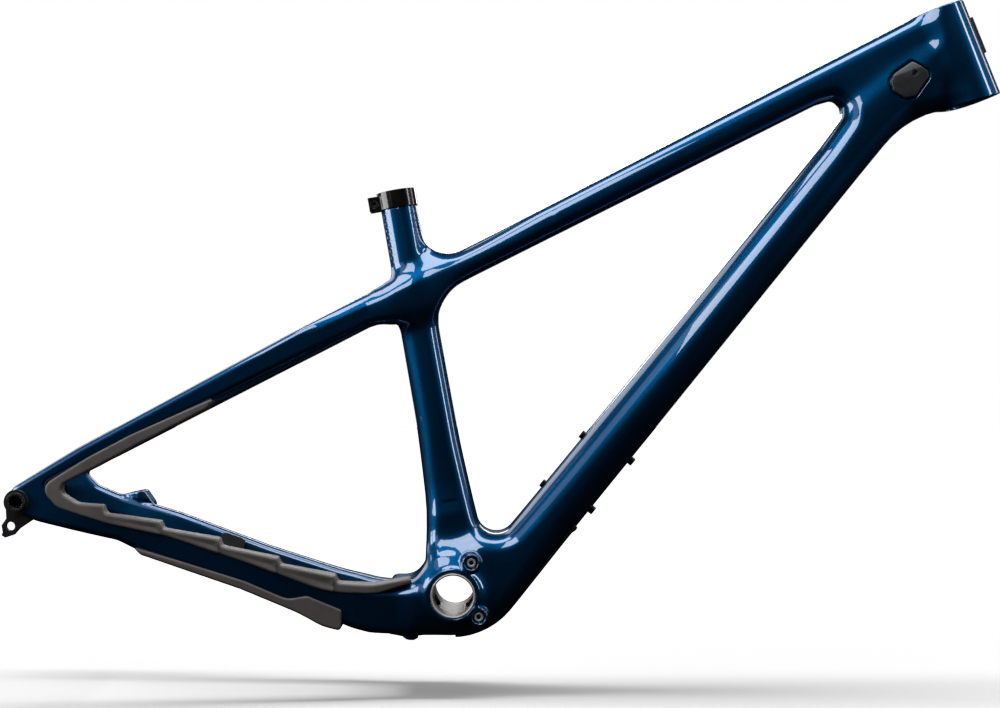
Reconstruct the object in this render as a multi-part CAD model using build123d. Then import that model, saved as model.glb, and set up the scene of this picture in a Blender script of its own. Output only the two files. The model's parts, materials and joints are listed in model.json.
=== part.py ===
from build123d import *
import math
import os

# Frame axes: origin at the bottom-bracket centre, +X forward, +Y to the rider's left, +Z up. Millimetres.
# Side-view points are (x, z). A station is (upper point, lower point, y centre, width, corner radius).

# Bottom bracket
BB_BORE_R = 20.5
BB_SLEEVE_R = 22.5
BB_HALF_WIDTH = 46.0
BB_SHELL_R = 31.0
BB_SHELL_HALF = 45.6
BB_WINDOW = (8.0, 26.0, 9.0)
BB_WINDOW_X = 20.0
BB_WINDOW_Z = -7.0
LUG_WIDTH = 58.0

# Seat tube
SEAT_FOOT = (12.3, 0.0)
SEAT_LEAN = math.radians(14.0)
SEAT_R = 18.2
SEAT_NECK_R = 17.45
SEATPOST_R = 15.8
SEAT_CUT = 104.0
SEAT_SHOULDER = 396.5
SEAT_TOP = 412.5

# Head tube
HEAD_FOOT = (493.5, 532.2)
HEAD_LEAN = math.radians(24.0)
HEAD_LENGTH = 102.0
HEAD_FOOT_R = 29.2
HEAD_TOP_R = 26.0
UPPER_SEAT_R = 21.0
LOWER_SEAT_R = 26.0
BEARING_SEAT_DEPTH = 8.0
STEERER_TOP_R = 17.5
STEERER_FOOT_R = 22.0

# Tube ends, shared by the tubes and the pieces they meet
TOP_TUBE_REAR = ((-12.0, 351.0), (4.4, 323.7), 0.0, 40.0, 11.0)
TOP_TUBE_FRONT = ((311.5, 544.0), (328.6, 515.6), 0.0, 42.0, 11.0)
DOWN_TUBE_FOOT = ((75.5, 99.4), (117.0, 70.4), 0.0, 56.0, 18.0)
DOWN_TUBE_MID = ((192.3, 265.7), (233.7, 236.8), 0.0, 52.0, 18.0)
DOWN_TUBE_HEAD = ((341.5, 478.0), (383.0, 449.0), 0.0, 46.0, 16.0)
TUBE_WALL = 2.2

# Right-hand stays; the left-hand ones mirror them
SEATSTAY = [
    ((-113.0, 291.5), (-97.0, 266.2), -27.0, 20.0, 6.0),
    ((-151.0, 266.5), (-137.0, 244.5), -43.5, 17.0, 6.0),
    ((-200.0, 235.0), (-187.5, 215.2), -52.0, 16.0, 6.0),
    ((-300.0, 171.0), (-289.2, 154.0), -65.0, 15.0, 6.0),
    ((-374.0, 124.0), (-364.4, 108.9), -77.0, 14.0, 5.0),
]
CHAINSTAY = [
    ((-52.0, 12.0), (-52.0, -50.0), -32.0, 24.0, 8.0),
    ((-80.0, 5.5), (-77.0, -46.0), -40.5, 15.0, 6.0),
    ((-121.0, 9.0), (-117.0, -27.0), -45.5, 15.0, 6.0),
    ((-197.0, 25.0), (-203.8, -3.2), -53.0, 16.0, 6.0),
    ((-297.0, 53.0), (-303.5, 26.2), -65.0, 17.0, 6.0),
    ((-325.0, 59.5), (-330.0, 36.0), -69.5, 15.0, 5.0),
    ((-362.0, 64.5), (-366.0, 42.2), -77.0, 14.0, 5.0),
]
STAY_WALL = 1.8

# Rear axle and dropouts
AXLE = (-427.7, 67.5)
AXLE_R = 6.0
RUNNING = 0.05
GAP = 0.3
HUB_HALF = 74.0
DROPOUT_OUTER = 85.0
DROPOUT_END_R = 13.5
HANGER_FACE = 78.0
HANGER_POCKET_X = -407.0
HANGER_BOSS_R = 9.0
HANGER_HOLE = (-434.0, 42.8)
HANGER_HOLE_R = 4.5

# Fasteners
M5_R = 2.5
BOTTLE_SPACING = 64.0


def side_plane(point, lean, y=0.0):
    """Plane square to a line that leaves point leaning back by lean; x is +Y and y points backwards."""
    direction = (-math.sin(lean), 0, math.cos(lean))
    return Plane(origin=(point[0], y, point[1]), x_dir=(0, 1, 0), z_dir=direction)


def along(point, lean, distance):
    """Side-view point at a distance up a leaning line."""
    return (point[0] - math.sin(lean) * distance, point[1] + math.cos(lean) * distance)


def across(point, lean, distance):
    """Side-view point at a distance in front of a leaning line."""
    return (point[0] + math.cos(lean) * distance, point[1] + math.sin(lean) * distance)


def rod(point, lean, start, end, radius, y=0.0):
    """Cylinder on a leaning line between two distances."""
    base = side_plane(along(point, lean, start), lean, y)
    return extrude(base * Circle(radius), end - start)


def cross_rod(point, radius, y_low, y_high):
    """Cylinder along Y through a side-view point."""
    base = Plane(origin=(point[0], y_low, point[1]), x_dir=(1, 0, 0), z_dir=(0, 1, 0))
    return extrude(base * Circle(radius), y_high - y_low)


def station_face(station, inset=0.0):
    """Rounded rectangle of a station, made smaller all round by inset."""
    upper, lower, y, width, corner = station
    height = math.dist(upper, lower)
    up = ((upper[0] - lower[0]) / height, (upper[1] - lower[1]) / height)
    middle = ((upper[0] + lower[0]) / 2, (upper[1] + lower[1]) / 2)
    plane = Plane(origin=(middle[0], y, middle[1]), x_dir=(0, 1, 0), z_dir=(up[1], 0, -up[0]))
    radius = max(corner - inset, 1.0)
    return plane * RectangleRounded(width - 2 * inset, height - 2 * inset, radius)


def tube(stations, wall, ruled=False):
    """Hollow loft through stations, open at both ends."""
    outside = loft([station_face(s) for s in stations], ruled=ruled)
    inside = loft([station_face(s, wall) for s in stations], ruled=ruled)
    return outside - inside


def plate(points, y_low, y_high):
    """Side-view polygon with thickness along Y."""
    base = Plane(origin=(0, y_low, 0), x_dir=(1, 0, 0), z_dir=(0, -1, 0))
    return extrude(base * Polygon(*points, align=None), y_high - y_low, dir=(0, 1, 0))


def mirrored(shape):
    """The same piece on the left-hand side."""
    return mirror(shape, about=Plane.XZ)


def moved_station(station, up=0.0, down=0.0, out=0.0, wider=0.0):
    """Station with its upper and lower edges moved outwards, shifted sideways and widened."""
    upper, lower, y, width, corner = station
    height = math.dist(upper, lower)
    unit = ((upper[0] - lower[0]) / height, (upper[1] - lower[1]) / height)
    new_upper = (upper[0] + unit[0] * up, upper[1] + unit[1] * up)
    new_lower = (lower[0] - unit[0] * down, lower[1] - unit[1] * down)
    return (new_upper, new_lower, y - out, width + wider, corner)


# --- Shell of the frame ---


def head_tube():
    plane = side_plane(HEAD_FOOT, HEAD_LEAN)
    top = plane.offset(HEAD_LENGTH)
    body = loft([plane * Circle(HEAD_FOOT_R), top * Circle(HEAD_TOP_R)], ruled=True)
    bore_low = plane.offset(BEARING_SEAT_DEPTH)
    bore_high = plane.offset(HEAD_LENGTH - BEARING_SEAT_DEPTH)
    bore = loft([bore_low * Circle(STEERER_FOOT_R), bore_high * Circle(STEERER_TOP_R)], ruled=True)
    body -= bore
    body -= rod(HEAD_FOOT, HEAD_LEAN, 0, BEARING_SEAT_DEPTH, LOWER_SEAT_R)
    body -= rod(HEAD_FOOT, HEAD_LEAN, HEAD_LENGTH - BEARING_SEAT_DEPTH, HEAD_LENGTH, UPPER_SEAT_R)
    return body


PORT_OUTLINE = [(424, 567.5), (441, 554.5), (429, 538), (412.5, 528.5), (402.5, 539), (406, 552)]
PORT_SCREW = (426.0, 554.5)
PORT_FLOOR = 17.5
JUNCTION_HALF = 22.0


def head_envelope():
    """The head tube's outside, used to shape what meets it."""
    plane = side_plane(HEAD_FOOT, HEAD_LEAN)
    return loft([plane * Circle(HEAD_FOOT_R), plane.offset(HEAD_LENGTH) * Circle(HEAD_TOP_R)], ruled=True)


def head_junction():
    outline = [
        TOP_TUBE_FRONT[0],
        along(HEAD_FOOT, HEAD_LEAN, HEAD_LENGTH),
        HEAD_FOOT,
        (464, 520.5),
        (442, 514.5),
        (422, 500),
        DOWN_TUBE_HEAD[1],
        DOWN_TUBE_HEAD[0],
        (361, 506),
        (356, 519.5),
        (342, 521),
        TOP_TUBE_FRONT[1],
    ]
    body = plate(outline, -JUNCTION_HALF, JUNCTION_HALF) - head_envelope()
    body -= plate(PORT_OUTLINE, -JUNCTION_HALF - 1, -PORT_FLOOR)
    body -= plate(PORT_OUTLINE, PORT_FLOOR, JUNCTION_HALF + 1)
    return body


def seat_envelope():
    """The seat tube's outside below the clamp."""
    return rod(SEAT_FOOT, SEAT_LEAN, SEAT_CUT + 100, SEAT_SHOULDER, SEAT_R)


SEAT_SWELL = [(SEAT_CUT, 22.0, 22.5), (SEAT_CUT + 50, 19.5, 20.0), (SEAT_CUT + 100, SEAT_R, SEAT_R)]


def seat_tube():
    faces = []
    for distance, half_width, half_depth in SEAT_SWELL:
        plane = side_plane(along(SEAT_FOOT, SEAT_LEAN, distance), SEAT_LEAN)
        faces.append(plane * Ellipse(half_width, half_depth))
    body = loft(faces) + seat_envelope()
    body += rod(SEAT_FOOT, SEAT_LEAN, SEAT_SHOULDER, SEAT_TOP, SEAT_NECK_R)
    return body - rod(SEAT_FOOT, SEAT_LEAN, SEAT_CUT - 1, SEAT_TOP + 1, SEATPOST_R)


CLUSTER_HALF = 18.0


def seat_cluster():
    rear_upper, rear_lower = SEATSTAY[0][0], SEATSTAY[0][1]
    middle = ((-62.0, 321.6), (-45.8, 295.2), 0.0, 52.0, 10.0)
    rear = (rear_upper, rear_lower, 0.0, 74.0, 6.0)
    band = loft([station_face(s) for s in (TOP_TUBE_REAR, middle, rear)])
    web = [
        TOP_TUBE_REAR[0],
        TOP_TUBE_REAR[1],
        (-8, 314.5),
        (-22, 302),
        (-33, 286),
        (-36, 269),
        (-74, 267),
        rear_lower,
        (-84, 308),
        (-62, 352),
        (-50, 349),
        (-38, 345.5),
        (-26, 346),
    ]
    return band + plate(web, -CLUSTER_HALF, CLUSTER_HALF) - seat_envelope()


GUARD_INNER = [(84, 24), (56.5, -15.5), (46.5, -27.5), (37, -35.5), (26, -40.5), (6, -46)]
GUARD_OUTER = [(4, -49), (27, -44), (39, -38.5), (49, -30), (59, -17.5), (86.5, 22)]
GUARD_HALF = 24.0
CHAINGUIDE_BOLTS = [(15.7, 34.2), (27.5, -19.7)]
CHAINGUIDE_FACE = 42.5
CHAINGUIDE_RECESS_R = 5.2
PLUG_X = -41.0
PLUG_R = 7.5
PLUG_TOP_Z = -44.0


def bottom_bracket_lug():
    outline = [
        DOWN_TUBE_FOOT[0],
        DOWN_TUBE_FOOT[1],
        *GUARD_INNER,
        (-20, -49.5),
        CHAINSTAY[0][1],
        CHAINSTAY[0][0],
        (-40, 20),
        (-31.5, 38),
        (-31.5, 60),
        across(along(SEAT_FOOT, SEAT_LEAN, SEAT_CUT), SEAT_LEAN, -23.0),
        across(along(SEAT_FOOT, SEAT_LEAN, SEAT_CUT), SEAT_LEAN, 23.0),
        (15, 84),
        (22, 67),
        (33, 60),
        (45, 65),
    ]
    body = plate(outline, -LUG_WIDTH / 2, LUG_WIDTH / 2)
    for centre in CHAINGUIDE_BOLTS:
        body += cross_rod(centre, 8.0, -CHAINGUIDE_FACE, 0)
    for side in (-1, 1):
        low, high = sorted((side * LUG_WIDTH / 2, side * 44.0))
        shoulder = plate([(-52, 12), (-52, -50), (-5, -47), (-5, 12)], low, high)
        body += shoulder
    body -= cross_rod((0, 0), BB_SHELL_R, -BB_HALF_WIDTH, BB_HALF_WIDTH)
    for centre in CHAINGUIDE_BOLTS:
        body -= cross_rod(centre, M5_R, -CHAINGUIDE_FACE, -CHAINGUIDE_FACE + 16)
        body -= cross_rod(centre, CHAINGUIDE_RECESS_R, -CHAINGUIDE_FACE - 1, -CHAINGUIDE_FACE + 2)
    plug_hole = Plane(origin=(PLUG_X, 0, -60), x_dir=(1, 0, 0), z_dir=(0, 0, 1))
    return body - extrude(plug_hole * Circle(PLUG_R), PLUG_TOP_Z + 60)


def bottom_bracket_shell():
    """Barrel round the sleeve, wider than the lug it stands in."""
    body = cross_rod((0, 0), BB_SHELL_R, -BB_SHELL_HALF, BB_SHELL_HALF)
    for centre in CHAINGUIDE_BOLTS:
        body -= cross_rod(centre, CHAINGUIDE_RECESS_R, -BB_HALF_WIDTH, -CHAINGUIDE_FACE + 2)
    return body - cross_rod((0, 0), BB_SLEEVE_R, -BB_HALF_WIDTH, BB_HALF_WIDTH)


def chainstay_skin():
    return loft([station_face(s) for s in CHAINSTAY])


def chainstay():
    return tube(CHAINSTAY, STAY_WALL)


def seatstay():
    return tube(SEATSTAY, STAY_WALL)


INNER_CORNER = [(-384, 95.5), (-391, 86), (-385, 77)]


def dropout_blank():
    """Dropout plate of the right-hand side, without its holes."""
    outline = [
        (-434.6, 79.1),
        SEATSTAY[-1][0],
        SEATSTAY[-1][1],
        *INNER_CORNER,
        CHAINSTAY[-1][0],
        CHAINSTAY[-1][1],
        (-405, 49),
        (-431, 54.4),
    ]
    body = plate(outline, -DROPOUT_OUTER, -HUB_HALF)
    return body + cross_rod(AXLE, DROPOUT_END_R, -DROPOUT_OUTER, -HUB_HALF)


def dropout_right():
    body = dropout_blank()
    pocket_x = HANGER_POCKET_X + RUNNING
    pocket = [(-460, 20), (pocket_x, 20), (pocket_x, 110), (-460, 110)]
    body -= plate(pocket, -HANGER_FACE, -HUB_HALF + 1)
    return body - cross_rod(AXLE, HANGER_BOSS_R + RUNNING, -DROPOUT_OUTER - 1, -HUB_HALF + 1)


# Post mount: two threaded posts 74 mm apart, the rear one in the left-hand dropout
POST_SPACING = 74.0
POST_REAR = (-411.5, 92.0)
POST_LEAN = math.radians(-19.0)
POST_R = 8.5
POST_THREAD_R = 2.5
POST_THREAD_DEPTH = 15.0
POST_HEIGHT = 18.0
POST_Y = 79.5
POST_FACE_CLEAR = 20.0
LEFT_WEB = [(-386, 76), (-374, 69.5), (-358, 66.5), (-358, 60), (-386, 60)]


def dropout_left():
    body = mirrored(dropout_blank()) + plate(LEFT_WEB, HUB_HALF, DROPOUT_OUTER)
    body -= rod(POST_REAR, POST_LEAN, 0.0, POST_FACE_CLEAR, POST_R + GAP, POST_Y)
    body -= rod(POST_REAR, POST_LEAN, -POST_THREAD_DEPTH, 0.0, POST_THREAD_R, POST_Y)
    return body - cross_rod(AXLE, AXLE_R + RUNNING, HUB_HALF - 1, DROPOUT_OUTER + 1)


# --- Fitted pieces ---


def bb_sleeve():
    body = cross_rod((0, 0), BB_SLEEVE_R, -BB_HALF_WIDTH, BB_HALF_WIDTH)
    body -= cross_rod((0, 0), BB_BORE_R, -BB_HALF_WIDTH, BB_HALF_WIDTH)
    for side in (-1, 1):
        body -= Pos(side * BB_WINDOW_X, 0, BB_WINDOW_Z) * Box(*BB_WINDOW)
    return body


def head_badge():
    """Thin plain plate wrapped on the front of the head tube."""
    middle = along(HEAD_FOOT, HEAD_LEAN, HEAD_LENGTH * 0.62)
    plane = side_plane(middle, HEAD_LEAN)
    skin = plane.offset(-20) * Circle(HEAD_FOOT_R + 1.2)
    top = plane.offset(20) * Circle(HEAD_FOOT_R)
    shell = loft([skin, top], ruled=True) - head_envelope()
    window = plane * Pos(0, -32, 0) * Box(22, 30, 38)
    return shell & window


def port_cover():
    body = plate(PORT_OUTLINE, -JUNCTION_HALF - 2.5, -PORT_FLOOR)
    return body - cross_rod(PORT_SCREW, 2.5, -JUNCTION_HALF - 3, -PORT_FLOOR)


def port_screw():
    body = cross_rod(PORT_SCREW, 2.5, -JUNCTION_HALF - 2.2, -PORT_FLOOR)
    return body - hex_socket(PORT_SCREW, 1.25, -JUNCTION_HALF - 2.2, 2.0)


def hex_socket(point, radius, y_face, depth):
    """Hexagonal recess going in along +Y from a face."""
    base = Plane(origin=(point[0], y_face, point[1]), x_dir=(1, 0, 0), z_dir=(0, 1, 0))
    return extrude(base * RegularPolygon(radius, 6), depth)


CLAMP_R = 20.0
CLAMP_LOW = SEAT_SHOULDER + GAP
CLAMP_HIGH = SEAT_TOP + 1.5
EAR_BACK = 29.0
EAR_HALF = 11.0
CLAMP_BOLT_BACK = 23.5
CLAMP_BOLT_R = 2.5
CLAMP_HEAD_R = 4.4
CLAMP_SLOT = 1.2


def clamp_frame():
    """Plane at the collar's middle: x is +Y, y points backwards, z up the seat tube."""
    middle = (CLAMP_LOW + CLAMP_HIGH) / 2
    return side_plane(along(SEAT_FOOT, SEAT_LEAN, middle), SEAT_LEAN)


def clamp_cross_rod(radius, y_low, y_high):
    """Cylinder along Y at the clamp bolt."""
    middle = (CLAMP_LOW + CLAMP_HIGH) / 2 - 1.5
    axis = along(SEAT_FOOT, SEAT_LEAN, middle)
    back = (-math.cos(SEAT_LEAN) * CLAMP_BOLT_BACK, -math.sin(SEAT_LEAN) * CLAMP_BOLT_BACK)
    return cross_rod((axis[0] + back[0], axis[1] + back[1]), radius, y_low, y_high)


def seat_clamp_collar():
    height = CLAMP_HIGH - CLAMP_LOW
    ear_middle = (EAR_BACK + 10) / 2
    body = rod(SEAT_FOOT, SEAT_LEAN, CLAMP_LOW, CLAMP_HIGH, CLAMP_R)
    body += clamp_frame() * Pos(0, ear_middle, -1.5) * Box(2 * EAR_HALF, EAR_BACK - 10, height - 3)
    body -= rod(SEAT_FOOT, SEAT_LEAN, CLAMP_LOW, SEAT_TOP + GAP, SEAT_NECK_R + RUNNING)
    body -= rod(SEAT_FOOT, SEAT_LEAN, SEAT_TOP, CLAMP_HIGH, SEATPOST_R + 0.6)
    slot_middle = (EAR_BACK + 12) / 2
    body -= clamp_frame() * Pos(0, slot_middle, 0) * Box(2 * CLAMP_SLOT, EAR_BACK - 4, height + 4)
    body -= clamp_cross_rod(CLAMP_BOLT_R + RUNNING, -EAR_HALF - 1, EAR_HALF + 1)
    body -= clamp_cross_rod(CLAMP_HEAD_R + RUNNING, -EAR_HALF - 1, -EAR_HALF + 5)
    return body - clamp_cross_rod(CLAMP_HEAD_R, EAR_HALF - 5, EAR_HALF + 1)


def seat_clamp_bolt():
    body = clamp_cross_rod(CLAMP_HEAD_R, -EAR_HALF + 0.5, -EAR_HALF + 5 - RUNNING)
    body += clamp_cross_rod(CLAMP_BOLT_R, -EAR_HALF + 4, EAR_HALF - 0.5)
    return body - clamp_cross_rod(2.0, -EAR_HALF, -EAR_HALF + 3.2)


def seat_clamp_barrel():
    body = clamp_cross_rod(CLAMP_HEAD_R, EAR_HALF - 5, EAR_HALF)
    return body - clamp_cross_rod(CLAMP_BOLT_R + RUNNING, EAR_HALF - 6, EAR_HALF + 1)


AXLE_HEAD_R = 9.0
WASHER_THICK = 1.5
AXLE_DRIVE_END = -84.0


def thru_axle():
    head_face = DROPOUT_OUTER + GAP + WASHER_THICK + RUNNING
    body = cross_rod(AXLE, AXLE_R, AXLE_DRIVE_END, head_face + 1)
    body += cross_rod(AXLE, AXLE_HEAD_R, head_face, head_face + 5)
    base = Plane(origin=(AXLE[0], head_face + 5, AXLE[1]), x_dir=(1, 0, 0), z_dir=(0, -1, 0))
    body -= extrude(base * RegularPolygon(3.4, 6), 8)
    return body - cross_rod(AXLE, 4.2, AXLE_DRIVE_END, HUB_HALF)


def thru_axle_washer():
    low = DROPOUT_OUTER + GAP
    body = cross_rod(AXLE, AXLE_HEAD_R + 1, low, low + WASHER_THICK)
    return body - cross_rod(AXLE, AXLE_R + RUNNING, low, low + WASHER_THICK)


HANGER_INNER = 74.2


def derailleur_hanger():
    leg = [(-440, 62), (-438.5, 50), (-442.5, 43), (-441, 36), (-442, 33.5), (-438.5, 31.5)]
    leg += [(-430, 35), (-425.5, 41), (-412, 51.5), (-416, 60)]
    thick_outer = -HANGER_FACE + GAP
    body = plate(leg, thick_outer, -HANGER_INNER) + cross_rod(AXLE, 12.5, thick_outer, -HANGER_INNER)
    body += cross_rod(AXLE, HANGER_BOSS_R, -DROPOUT_OUTER - GAP, thick_outer)
    body -= cross_rod(HANGER_HOLE, HANGER_HOLE_R, -80, -70)
    return body - cross_rod(AXLE, AXLE_R + RUNNING, -90, -70)


def hanger_washer():
    face = -DROPOUT_OUTER - GAP
    body = cross_rod(AXLE, 12.0, face - 1.2, face)
    return body - cross_rod(AXLE, AXLE_R + RUNNING, face - 2, face)


def hanger_bolt():
    face = -DROPOUT_OUTER - GAP - 1.2
    body = cross_rod(AXLE, 9.2, face - 3.0, face)
    for index in range(12):
        angle = math.radians(30 * index)
        flute = (AXLE[0] + 6.3 * math.cos(angle), AXLE[1] + 6.3 * math.sin(angle))
        body -= cross_rod(flute, 1.0, face - 3.5, face)
    return body - cross_rod(AXLE, 6.3, face - 3.5, face)


PROTECTOR_SKIN = 3.2
PROTECTOR_COVER = 12.0
RIB_STATIONS = [(-340.0, 62.0), (-286.0, 50.0), (-229.0, 33.8), (-171.0, 19.0), (-114.0, 7.8)]
RIB_HEIGHT = 8.0
RIB_LENGTH = 34.0
CHAINSTAY_LEAN = math.radians(-14.0)
CORNER_STRIP = [(-381, 97.5), (-392, 86), (-386, 75), (-358, 60), (-356, 68), (-379, 79), (-385, 86), (-377, 93)]


def chainstay_protector():
    """Channel over the chainstay's top and outer side, with sloping ribs along it."""
    stations = []
    for upper, lower, y, width, corner in CHAINSTAY[1:]:
        height = math.dist(upper, lower)
        share = PROTECTOR_COVER / height
        edge = (upper[0] + (lower[0] - upper[0]) * share, upper[1] + (lower[1] - upper[1]) * share)
        stations.append(moved_station((upper, edge, y, width, 1.5), up=PROTECTOR_SKIN, out=2.5, wider=-1.0))
    body = loft([station_face(s) for s in stations])
    for index, (x, z) in enumerate(RIB_STATIONS):
        y = -77.0 + 9.4 * index - (1.0 if index > 2 else 0.0)
        start = (x - RIB_LENGTH * math.cos(CHAINSTAY_LEAN), z - RIB_LENGTH * math.sin(CHAINSTAY_LEAN))
        wedge = [start, (x, z), (x, z + RIB_HEIGHT)]
        body += plate(wedge, y - 5.0, y + 5.0)
    body += plate(CORNER_STRIP, -83.0, -75.0)
    return body - chainstay_skin() - dropout_blank()


def seatstay_protector():
    """Strip under the seatstay's lower edge, from the dropout to mid-stay."""
    stations = []
    for upper, lower, y, width, corner in (SEATSTAY[-1], SEATSTAY[-2], mid_seatstay()):
        height = math.dist(upper, lower)
        share = 4.0 / height
        edge = (lower[0] + (upper[0] - lower[0]) * share, lower[1] + (upper[1] - lower[1]) * share)
        stations.append(moved_station((edge, lower, y, width, 4.0), down=6.0, out=1.0, wider=1.6))
    body = loft([station_face(s) for s in stations])
    return body - loft([station_face(s) for s in SEATSTAY]) - plate(CORNER_STRIP, -84.0, -72.0)


def mid_seatstay():
    """Station part-way up the seatstay where the protector ends."""
    return ((-262.0, 195.3), (-250.4, 177.2), -60.3, 15.4, 6.0)


LOWER_GUARD = [
    ((-304.0, 31.0), (-306.0, 22.5), -64.5, 19.0, 2.0),
    ((-249.0, 17.0), (-251.0, 7.5), -58.5, 19.0, 2.0),
    ((-200.0, 4.0), (-203.0, -6.5), -53.2, 18.5, 2.0),
    ((-150.0, -10.0), (-152.5, -25.0), -48.5, 18.0, 2.0),
    ((-109.0, -20.5), (-111.5, -39.0), -45.5, 18.0, 2.0),
]


def chainstay_lower_guard():
    return loft([station_face(s) for s in LOWER_GUARD]) - chainstay_skin()


def down_tube_guard():
    outline = [DOWN_TUBE_FOOT[1], *GUARD_INNER, *GUARD_OUTER, (119.4, 68.7)]
    return plate(outline, -GUARD_HALF, GUARD_HALF)


DOWN_TUBE_LEAN = math.radians(-35.0)
BOTTLE_TOP_MID = (103.5, 139.3)
BOTTLE_UNDER_MID = (151.4, 118.6)
BOSS_SUNK = 8.0
BOLT_HEAD_R = 4.0
BOLT_HEAD_TALL = 4.0


def bottle_points(middle):
    half = BOTTLE_SPACING / 2
    return [along(middle, DOWN_TUBE_LEAN, -half), along(middle, DOWN_TUBE_LEAN, half)]


def bottle_bolt(point, side):
    """Button bolt standing off the down tube; side is +1 above it and -1 below."""
    lean = DOWN_TUBE_LEAN + math.radians(90.0 if side > 0 else -90.0)
    body = rod(point, lean, -BOSS_SUNK, BOLT_HEAD_TALL - 0.5, M5_R)
    body += rod(point, lean, 0.0, BOLT_HEAD_TALL, BOLT_HEAD_R)
    return body - rod(point, lean, BOLT_HEAD_TALL - 2.0, BOLT_HEAD_TALL + 1, 1.7)


def bottle_shank(point, side):
    lean = DOWN_TUBE_LEAN + math.radians(90.0 if side > 0 else -90.0)
    return rod(point, lean, -BOSS_SUNK - 1, 1.0, M5_R) + rod(point, lean, 0.0, 3.0, BOLT_HEAD_R)


def down_tube():
    body = tube([DOWN_TUBE_FOOT, DOWN_TUBE_MID, DOWN_TUBE_HEAD], TUBE_WALL)
    for middle, side in ((BOTTLE_TOP_MID, 1), (BOTTLE_UNDER_MID, -1)):
        for point in bottle_points(middle):
            body -= bottle_shank(point, side)
    return body


def top_tube():
    return tube([TOP_TUBE_REAR, TOP_TUBE_FRONT], TUBE_WALL)


def chainguide_bolt(centre):
    face = -CHAINGUIDE_FACE
    body = cross_rod(centre, 4.3, face - 1.0, face + 2) + cross_rod(centre, M5_R, face + 1, face + 14)
    return body - hex_socket(centre, 2.3, face - 1.0, 2.5)


def bb_port_plug():
    plane = Plane(origin=(PLUG_X, 0, PLUG_TOP_Z), x_dir=(1, 0, 0), z_dir=(0, 0, -1))
    body = extrude(plane * Circle(PLUG_R), 7.5)
    dome = plane.offset(7.5)
    return body + loft([dome * Circle(PLUG_R), dome.offset(2.0) * Circle(PLUG_R - 3.0)], ruled=True)


PORT_LEFT = (-236.6, 27.5)
PORT_LEFT_LENGTH = 27.0
PORT_LEFT_HEIGHT = 13.0
PORT_LEFT_SPLAY = math.degrees(math.atan2(12.0, 100.0))


def brake_port_cover():
    """Oval cover let into the inner face of the left-hand chainstay."""
    stay_y = 57.7
    inner_face = stay_y - 8.3
    plate_body = Box(PORT_LEFT_LENGTH, 2.6, PORT_LEFT_HEIGHT)
    plate_body = fillet(plate_body.edges().filter_by(Axis.Y), 6.0)
    turned = Rot(0, 14.0, 0) * plate_body
    turned = Rot(0, 0, -PORT_LEFT_SPLAY) * turned
    return Pos(PORT_LEFT[0], inner_face, PORT_LEFT[1]) * turned


POST_FRONT = along(POST_REAR, POST_LEAN - math.radians(90.0), POST_SPACING)


def brake_post_blank():
    return rod(POST_FRONT, POST_LEAN, -POST_HEIGHT, 0.0, POST_R, POST_Y)


def brake_mount_left():
    """Front post on the left-hand chainstay, with its threaded hole."""
    hole = rod(POST_FRONT, POST_LEAN, -POST_THREAD_DEPTH, 0.0, POST_THREAD_R, POST_Y)
    return brake_post_blank() - hole


def write(name, shape):
    export_step(Compound(children=list(shape.solids())), os.path.join("parts", name + ".step"))


os.makedirs("parts", exist_ok=True)

right_stay = chainstay()
left_stay = mirrored(right_stay) - brake_port_cover() - brake_post_blank()

write("head_tube", head_tube())
write("head_junction", head_junction())
write("top_tube", top_tube())
write("down_tube", down_tube())
write("seat_tube", seat_tube())
write("seat_cluster", seat_cluster())
write("bottom_bracket_lug", bottom_bracket_lug())
write("bottom_bracket_shell", bottom_bracket_shell())
write("chainstay_right", right_stay)
write("chainstay_left", left_stay)
write("seatstay_right", seatstay())
write("seatstay_left", mirrored(seatstay()))
write("dropout_right", dropout_right())
write("dropout_left", dropout_left() - mirrored(chainstay_skin()))
write("brake_mount_left", brake_mount_left())
write("bb_sleeve", bb_sleeve())
write("head_badge", head_badge())
write("cable_port_cover_right", port_cover())
write("cable_port_cover_left", mirrored(port_cover()))
write("cable_port_screw_right", port_screw())
write("cable_port_screw_left", mirrored(port_screw()))
write("seat_clamp_collar", seat_clamp_collar())
write("seat_clamp_bolt", seat_clamp_bolt())
write("seat_clamp_barrel", seat_clamp_barrel())
write("thru_axle", thru_axle())
write("thru_axle_washer", thru_axle_washer())
write("derailleur_hanger", derailleur_hanger())
write("hanger_washer", hanger_washer())
write("hanger_bolt", hanger_bolt())
write("chainstay_protector", chainstay_protector())
write("seatstay_protector", seatstay_protector())
write("chainstay_lower_guard", chainstay_lower_guard())
write("down_tube_guard", down_tube_guard())
write("bottle_bolts_upper", Compound(children=[bottle_bolt(p, 1) for p in bottle_points(BOTTLE_TOP_MID)]))
write("bottle_bolts_lower", Compound(children=[bottle_bolt(p, -1) for p in bottle_points(BOTTLE_UNDER_MID)]))
write("chainguide_bolts", Compound(children=[chainguide_bolt(c) for c in CHAINGUIDE_BOLTS]))
write("bb_port_plug", bb_port_plug())
write("brake_port_cover", brake_port_cover())
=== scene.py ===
import json
import math

import bpy
import numpy as np
from mathutils import Matrix, Quaternion, Vector


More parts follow.
